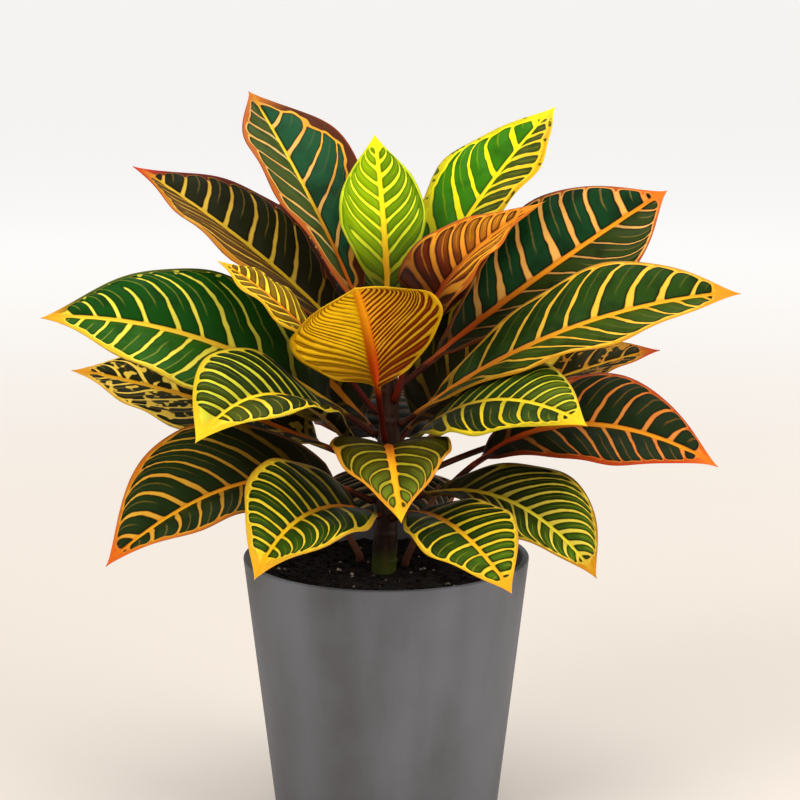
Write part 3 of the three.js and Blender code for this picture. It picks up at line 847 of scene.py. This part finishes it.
def leaf_shape(leaf, rows, seed, around, along):
    """Shape of a leaf for sleeve. Its rows follow first the petiole and then the side veins, and
    its columns go over the upper face and back along the underside."""
    start, bend, tip, inward = midrib(leaf)
    flat = unit((tip - start) * np.array([1, 1, 0]))
    sideways = np.array([flat[1], -flat[0], 0])
    starts = vein_starts(leaf["veins"], leaf.get("first_step", USUAL_FIRST_STEP), seed)
    degrees = math.pi / 180

    # Where on the blade: out is 0 on the midrib and 1 on the edge, s is 0 at the base of the
    # blade and 1 at its tip. Columns crowd at midrib and edge, and rows lean as veins do.
    row = np.round(along * rows)
    x = np.where(around <= 0.5, 4 * around - 1, 3 - 4 * around)
    side = np.sign(x)
    out = EVEN_COLUMNS * np.abs(x) + (1 - EVEN_COLUMNS) * (3 * x * x - 2 * np.abs(x) ** 3)
    under = (around > 0.5).astype(float)
    phase = np.maximum(0, row - PETIOLE_ROWS) / VEIN_ROWS
    at_rib = np.interp(phase, np.arange(len(starts)), starts)
    hook = VEIN_LEAN * out ** VEIN_BEND + VEIN_HOOK * out ** 6
    lean = leaf.get("sweep", USUAL_SWEEP)
    lean = np.where(side < 0, leaf.get("left_sweep", lean), lean)
    growth = np.clip(STEEPEST_LEAN / np.maximum(lean, 0.1) - 1, 0, MOST_GROWTH)
    lean = lean * smooth(at_rib / leaf.get("lean_from", USUAL_LEAN_FROM))
    s = at_rib + lean * hook * (1 - at_rib) * (1 + growth * at_rib)

    # The midrib's curve there, and the directions along it, across it and off the face.
    on_petiole = row < PETIOLE_ROWS
    share = np.minimum(1, row / PETIOLE_ROWS)
    base = leaf["blade"]
    t = np.where(on_petiole, base * share, base + (1 - base) * s)[:, None]
    centre = (1 - t) ** 2 * start + 2 * t * (1 - t) * bend + t ** 2 * tip
    forward = unit((1 - t) * (bend - start) + t * (tip - bend))
    across = unit(sideways - forward * (forward @ sideways)[:, None])
    up = np.cross(across, forward)

    # The blade's two halves, lifted, drooping at the edge and waved.
    full = leaf["width"] / 2 * outline(s, leaf.get("widest", USUAL_WIDEST))
    half = np.maximum(PETIOLE_RADIUS * (1 - s), full)
    opened = smooth(s / OPEN_STATION) * degrees
    lift = opened * (np.where(side < 0, leaf["left"], leaf["right"]) - EDGE_DROOP * out)
    middle_tilt = opened * (leaf["left"] - leaf["right"]) / 2
    tilt = middle_tilt + (-side * lift - middle_tilt) * smooth(out / RIB_SHARE)
    wave_start = np.where(side < 0, LEFT_WAVE_START, RIGHT_WAVE_START)
    wave = leaf.get("wave", USUAL_WAVE) * out * out * outline(s)
    wave = wave * np.sin(2 * math.pi * (EDGE_WAVES * s + wave_start))

    # Its thickness, with swellings between the veins, the midrib above and the keel below.
    vein_phase = phase + np.where((side > 0) & (out > 0.01), 0.5, 0)
    inside = smooth(out / QUILT_FROM_RIB) * smooth((1 - out) / QUILT_FROM_EDGE)
    inside = inside * smooth(s / QUILT_FROM_EDGE) * smooth((1 - s) / QUILT_FROM_EDGE)
    quilt = QUILT * inside * np.sin(math.pi * vein_phase) ** 2
    from_rib = half * out
    depth = BLADE_THICKNESS / 2 * np.sqrt(1 - out ** 12)
    ridge = RIDGE * (1 - s) * np.exp(-((from_rib / RIDGE_WIDTH) ** 2))
    keel = KEEL * (1 - s) * (1 - s / 2) * np.exp(-((from_rib / KEEL_WIDTH) ** 2))
    normal = wave + quilt + np.where(under > 0, -depth - keel, depth + ridge)
    right = side * from_rib * np.cos(lift) + normal * np.sin(tilt)
    rise = from_rib * np.sin(lift) + normal * np.cos(tilt)

    # The round petiole, which flattens into the blade and enters the stem by a thick foot.
    angle = math.pi * (1 - 2 * around)
    collar = 1 + COLLAR * (1 - smooth(row / COLLAR_ROWS))
    radius = PETIOLE_RADIUS * np.where(row == 0, 0, collar)
    blend = np.where(on_petiole, 0, smooth(s / FLAT_STATION))
    right = radius * np.cos(angle) * (1 - blend) + right * blend
    rise = radius * np.sin(angle) * (1 - blend) + rise * blend
    into_stem = PETIOLE_SINK * np.clip(1 - row / SINK_ROWS, 0, 1)
    points = centre + across * right[:, None] + up * rise[:, None] + inward * into_stem[:, None]
    values = {
        "vein_phase": vein_phase,
        "from_rib": from_rib,
        "from_edge": np.where(on_petiole, 20, half - from_rib),
        "along": np.where(on_petiole, share - 1, s),
        "side": side,
        "under": under,
    }
    return points, values


# Markings of every leaf: how far veins wander, in gaps between them, how rough they are, how
# round panels are beside veins, edge and tip, how deep the band scallops, how softly panels turn
# to panel_tip, how long the painted shade at the petiole is, and how dull the underside.
WOBBLE = 0.24
FRAY = 0.5
VEIN_CORNER = 2.4
EDGE_CORNER = 4.5
TIP_CORNER = 3.0
SCALLOP = 2.5
TURN_SPREAD = 0.2
SHADE_LENGTH = 0.55
UNDERSIDE = {"Saturation": 0.85, "Value": 0.6}


def leaf_finish(name, look, leaf, seed):
    """Leathery blade: green panels with rounded corners, framed by veins, midrib and edge. A depth
    is a distance from a line in millimetres, below 0 on the line itself."""
    material, tree, shader = finish_of(name + "_finish", roughness=0.45, specular=0.05)
    blend = partial(mix, tree)
    calc = partial(maths, tree)
    step = partial(ramp, tree)
    cloud = partial(grain, tree)

    def attribute(key):
        return node(tree, "Attribute", attribute_name=key).outputs["Fac"]

    right_half = calc("GREATER_THAN", attribute("side"), 0)

    def of_halves(key):
        return [half.get(key, look[key]) for half in (look["left_half"], look["right_half"])]

    def number(key):
        left, right = of_halves(key)
        return left if left == right else calc("MULTIPLY_ADD", right_half, right - left, left)

    def tint(key):
        left, right = of_halves(key)
        return colour(left) if left == right else blend(right_half, colour(left), colour(right))

    from_rib = attribute("from_rib")
    from_edge = attribute("from_edge")
    along = attribute("along")
    half = calc("MAXIMUM", calc("ADD", from_rib, from_edge), 0.5)
    outward = calc("DIVIDE", from_rib, half)
    wobble = calc("SUBTRACT", cloud(55, detail=1), 0.5)
    fray = calc("SUBTRACT", cloud(240, detail=2), 0.5)

    # Side veins. Each has a number of its own, which draws its thickness and its length.
    phase = calc("MULTIPLY_ADD", wobble, WOBBLE, attribute("vein_phase"))
    phase = calc("MULTIPLY", phase, number("finer"))
    vein_number = calc("MULTIPLY_ADD", right_half, 43, calc("ROUND", phase))
    vein_number = calc("ADD", vein_number, 97 * seed)
    lot = node(tree, "TexWhiteNoise", {"W": vein_number}, noise_dimensions="1D")
    lot = lot.outputs["Value"]
    spacing = calc("DIVIDE", leaf["length"] / leaf["veins"], number("finer"))
    off_vein = calc("PINGPONG", phase, 0.5)
    from_vein = calc("MULTIPLY", off_vein, spacing)
    from_vein = calc("MULTIPLY_ADD", fray, FRAY, from_vein)
    thick = calc("MULTIPLY", number("vein_width"), calc("MULTIPLY_ADD", lot, 0.2, 0.45))
    thick = calc("MULTIPLY", thick, step(outward, 0, 0.9, 1.2, 0.85))
    thick = calc("MULTIPLY", thick, step(cloud(90, detail=1), 0.3, 0.7, 0.82, 1.18))
    thick = calc("MULTIPLY", thick, step(along, 0, 0.4, 0.6, 1))
    end = calc("MULTIPLY_ADD", lot, 0.3, calc("SUBTRACT", number("reach"), 0.15))
    ended = step(calc("SUBTRACT", outward, end), -0.12, 0.06, 0, 4)
    vein_depth = calc("SUBTRACT", from_vein, calc("SUBTRACT", thick, ended))

    # Midrib, coloured edge and tip, and the panels that they and the veins leave between them.
    rib_half = step(along, 0.1, 1.1, look["rib_width"] / 2, look["rib_width"] * 0.3)
    rib_half = calc("MULTIPLY", rib_half, step(along, 0, 0.25, 0.6, 1))
    rib_depth = calc("SUBTRACT", from_rib, rib_half)
    band_width = calc("MULTIPLY", number("band_width"), calc("MULTIPLY_ADD", wobble, 2, 1))
    edge_depth = calc("SUBTRACT", calc("SUBTRACT", from_edge, band_width), number("loop"))
    tip_depth = calc("MULTIPLY", calc("SUBTRACT", look["tip_start"], along), leaf["length"])
    panel_depth = calc("SMOOTH_MIN", vein_depth, rib_depth, VEIN_CORNER)
    panel_depth = calc("SMOOTH_MIN", panel_depth, edge_depth, EDGE_CORNER)
    panel_depth = calc("SMOOTH_MIN", panel_depth, tip_depth, TIP_CORNER)
    beyond_loops = calc("ADD", panel_depth, number("loop"))
    band_depth = calc("MAXIMUM", beyond_loops, calc("SUBTRACT", edge_depth, SCALLOP))

    # Colours of the panels, the veins and the band, with their spots.
    panel = tint("panel")
    if "panel_tip" in look:
        change = step(along, look["panel_turn"] - TURN_SPREAD, look["panel_turn"] + TURN_SPREAD)
        panel = blend(change, panel, tint("panel_tip"))
    panel = blend(step(panel_depth, 0.2, 2), tint("panel_dark"), panel)
    mottle = step(cloud(60, detail=4), 0.42, 0.75, 0, 0.6)
    panel = blend(mottle, panel, tint("panel_dark"))
    fine = step(calc("MULTIPLY_ADD", fray, 0.06, off_vein), 0.455, 0.48, 0, look["fine"])
    panel = blend(calc("MULTIPLY", fine, step(outward, 0.25, 0.5)), panel, tint("vein_out"))
    vein = blend(step(outward, 0.1, 0.7), tint("vein"), tint("vein_out"))
    vein = blend(step(along, 0.34, 0.05), vein, tint("vein_base"))
    flush = calc("ADD", step(panel_depth, -0.9, 0, 0, 0.3), step(wobble, -0.1, 0.2, 0, 0.2))
    vein = blend(flush, vein, tint("rim"))
    near_edge = step(from_edge, look["blotch_reach"], 1, -0.2, 0.06)
    spots = step(calc("ADD", cloud(150, detail=1), near_edge), 0.6, 0.66)
    panel = blend(calc("MULTIPLY", spots, number("blotch")), panel, vein)
    band = blend(calc("MULTIPLY", spots, number("freckle")), tint("band"), tint("panel_dark"))

    # All laid over one another, with painted shade near the petiole, and duller below.
    lines = blend(step(band_depth, 0.35, -0.35), vein, band)
    lines = blend(step(from_edge, 1.1, 0.5), lines, tint("rim"))
    rib = blend(step(along, 0.15, 0.7), colour(look["rib_base"]), colour(look["rib_tip"]))
    rib = blend(step(rib_depth, -1.2, -0.1, 0, 0.35), rib, colour(look["rib_base"]))
    lines = blend(step(rib_depth, 2.2, -0.3), lines, rib)
    lines = blend(step(along, 0.86, 1), lines, colour(look["tip"]))
    face = blend(step(panel_depth, -0.4, 0.45), lines, panel)
    # Painted shade: the blade darkens to near black towards its petiole, for the shadowed middle of the
    # plant, and the midrib keeps more of its colour.
    shade = step(along, look["shade_end"], look["shade_end"] - SHADE_LENGTH, 0, look["base_shade"])
    shade = calc("MULTIPLY", shade, step(rib_depth, -0.2, 0.8, 0.5, 1))
    face = blend(shade, face, colour("120a03"))
    petiole = blend(step(along, -0.2, 0.25), colour(look["petiole"]), face)
    face = blend(step(along, 0.07, 0), face, petiole)
    if not look.get("same_below"):
        dull = node(tree, "HueSaturation", {**UNDERSIDE, "Color": face})
        face = blend(attribute("under"), face, dull.outputs["Color"])
    tree.links.new(face, shader.inputs["Base Color"])
    tree.links.new(step(cloud(60, detail=3), 0.3, 0.7, 0.4, 0.55), shader.inputs["Roughness"])
    roughen(tree, shader, cloud(900, detail=4), 0.12, 0.0004)
    return material


# Every leaf in turn. Its place in the table is the seed of its draws.
for seed, (name, leaf) in enumerate(LEAVES.items()):
    look = {**USUAL_LOOK, **LOOKS[leaf["look"]], **leaf.get("own", {})}
    look["left_half"] = leaf.get("own_left", {})
    look["right_half"] = leaf.get("own_right", {})
    start, bend, tip, _ = midrib(leaf)
    by_bend = np.linalg.norm(bend - start) + np.linalg.norm(tip - bend)
    leaf["length"] = (1 - leaf["blade"]) * (2 * np.linalg.norm(tip - start) + by_bend) / 3
    rows = PETIOLE_ROWS + VEIN_ROWS * leaf["veins"]
    blade = sleeve(name + "_blade", LEAF_COLUMNS, rows, partial(leaf_shape, leaf, rows, seed))
    blade.data.materials.append(leaf_finish(name, look, leaf, seed))
    hand_over(blade, name)
